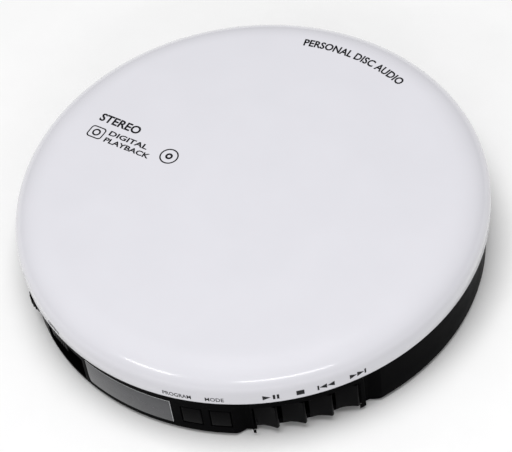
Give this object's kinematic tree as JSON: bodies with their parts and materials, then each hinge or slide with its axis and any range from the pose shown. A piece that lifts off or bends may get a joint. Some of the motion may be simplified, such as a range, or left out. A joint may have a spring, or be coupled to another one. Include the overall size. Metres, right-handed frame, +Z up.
{
  "type": "portable cd player",
  "caption": "Round portable disc player with a gloss white hinged lid, black case, display window, edge keys, release slider, volume dial, disc drive and battery bay.",
  "frame": {"origin": "under the disc axis, on the surface that the feet stand on", "axes": "+Z up along the disc axis; -Y towards the front with the display; +Y towards the lid hinge; +X to the right"},
  "size_m": [0.138, 0.138, 0.0302],
  "materials": {
    "white_gloss": "gloss white moulding",
    "black_satin": "fine satin black moulding",
    "black_key": "smooth black moulding",
    "smoked_window": "smoked clear moulding",
    "deck_grey": "matt dark grey moulding",
    "lcd_glass": "display glass and its frame",
    "steel": "plain steel",
    "bright_contact": "plated spring steel",
    "black_rubber": "matt rubber",
    "circuit_board": "green lacquer",
    "chip_black": "matt black resin",
    "flex_amber": "amber film",
    "lens_glass": "coated clear lens"
  },
  "bodies": {
    "case": {"lower_case": "black_satin", "upper_cabinet": "deck_grey", "hinge_pin_left": "steel", "hinge_pin_right": "steel", "lid_spring": "steel", "slider_spring": "steel", "display_window": "smoked_window", "lcd_panel": "lcd_glass", "main_board": "circuit_board", "decoder_chip": "chip_black", "buffer_memory_chip": "chip_black", "servo_chip": "chip_black", "key_switch_strip": "flex_amber", "volume_control": "steel", "headphone_jack": "chip_black", "dc_jack": "chip_black", "battery_spring_left": "bright_contact", "battery_spring_right": "bright_contact", "battery_contact_left": "bright_contact", "battery_contact_right": "bright_contact", "mechanism_chassis": "steel", "damper_1": "black_rubber", "damper_2": "black_rubber", "damper_3": "black_rubber", "spindle_motor": "steel", "guide_rail_front": "steel", "guide_rail_rear": "steel", "feed_motor": "steel", "lid_switch": "chip_black", "foot_1": "black_rubber", "foot_2": "black_rubber", "foot_3": "black_rubber", "foot_4": "black_rubber", "case_screw_1": "steel", "case_screw_2": "steel", "case_screw_3": "steel", "case_screw_4": "steel"},
    "lid": {"lid_shell": "white_gloss", "lid_inner_panel": "deck_grey", "hinge_arm_left": "black_satin", "hinge_arm_right": "black_satin", "lid_catch": "black_satin"},
    "open_slider": {"open_slider": "black_key"},
    "volume_dial": {"volume_dial": "black_key"},
    "disc_hub": {"disc_hub": "deck_grey", "spindle_shaft": "steel"},
    "pickup_sled": {"pickup_sled": "steel"},
    "objective_lens": {"objective_lens": "lens_glass"},
    "feed_screw": {"feed_screw": "steel"},
    "battery_door": {"battery_door": "black_satin"},
    "lid_switch_plunger": {"lid_switch_plunger": "deck_grey"},
    "play_pause_button": {"play_pause_button": "black_key"},
    "stop_button": {"stop_button": "black_key"},
    "previous_button": {"previous_button": "black_key"},
    "next_button": {"next_button": "black_key"},
    "program_button": {"program_button": "black_key"},
    "mode_button": {"mode_button": "black_key"}
  },
  "joints": [
    {"name": "lid_hinge", "type": "hinge", "parent": "case", "child": "lid", "pos_m": [0, 0.0605, 0.0095], "axis": [-1, 0, 0], "range_deg": [0, 75]},
    {"name": "play_pause_press", "type": "slide", "parent": "case", "child": "play_pause_button", "axis": [-0.5606, 0.8281, 0], "range_m": [0, 0.0008], "stiffness_N_per_m": 400, "springref_m": -0.0005},
    {"name": "stop_press", "type": "slide", "parent": "case", "child": "stop_button", "axis": [-0.6521, 0.7582, 0], "range_m": [0, 0.0008], "stiffness_N_per_m": 400, "springref_m": -0.0005},
    {"name": "previous_press", "type": "slide", "parent": "case", "child": "previous_button", "axis": [-0.7348, 0.6782, 0], "range_m": [0, 0.0008], "stiffness_N_per_m": 400, "springref_m": -0.0005},
    {"name": "next_press", "type": "slide", "parent": "case", "child": "next_button", "axis": [-0.8079, 0.5893, 0], "range_m": [0, 0.0008], "stiffness_N_per_m": 400, "springref_m": -0.0005},
    {"name": "program_press", "type": "slide", "parent": "case", "child": "program_button", "axis": [-0.2823, 0.9593, 0], "range_m": [0, 0.0008], "stiffness_N_per_m": 400, "springref_m": -0.0005},
    {"name": "mode_press", "type": "slide", "parent": "case", "child": "mode_button", "axis": [-0.3971, 0.9178, 0], "range_m": [0, 0.0008], "stiffness_N_per_m": 400, "springref_m": -0.0005},
    {"name": "open_slide", "type": "slide", "parent": "case", "child": "open_slider", "axis": [0.9191, -0.3939, 0], "range_m": [0, 0.005], "stiffness_N_per_m": 150, "springref_m": -0.002},
    {"name": "volume_turn", "type": "hinge", "parent": "case", "child": "volume_dial", "pos_m": [-0.03934, -0.04688, 0.0091], "axis": [0, 0, 1], "range_deg": [-140, 140]},
    {"name": "hub_spin", "type": "hinge", "parent": "case", "child": "disc_hub", "pos_m": [0, 0, 0.021], "axis": [0, 0, 1], "continuous": true},
    {"name": "pickup_slide", "type": "slide", "parent": "case", "child": "pickup_sled", "axis": [1, 0, 0], "range_m": [0, 0.034]},
    {"name": "lens_focus", "type": "slide", "parent": "pickup_sled", "child": "objective_lens", "axis": [0, 0, 1], "range_m": [-0.0004, 0.0004], "stiffness_N_per_m": 40},
    {"name": "feed_screw_spin", "type": "hinge", "parent": "case", "child": "feed_screw", "pos_m": [0.03, -0.0155, 0.01], "axis": [1, 0, 0], "range_deg": [0, 3065]},
    {"name": "battery_door_slide", "type": "slide", "parent": "case", "child": "battery_door", "axis": [0, -1, 0], "range_m": [0, 0.004]},
    {"name": "lid_switch_rise", "type": "slide", "parent": "case", "child": "lid_switch_plunger", "axis": [0, 0, 1], "range_m": [0, 0.0011]}
  ],
  "couplings": [
    {"joint": "feed_screw_spin", "follows": "pickup_slide", "rad_per_m": 1570.8},
    {"joint": "lid_switch_rise", "follows": "lid_hinge", "m_per_rad": 0.000764}
  ]
}
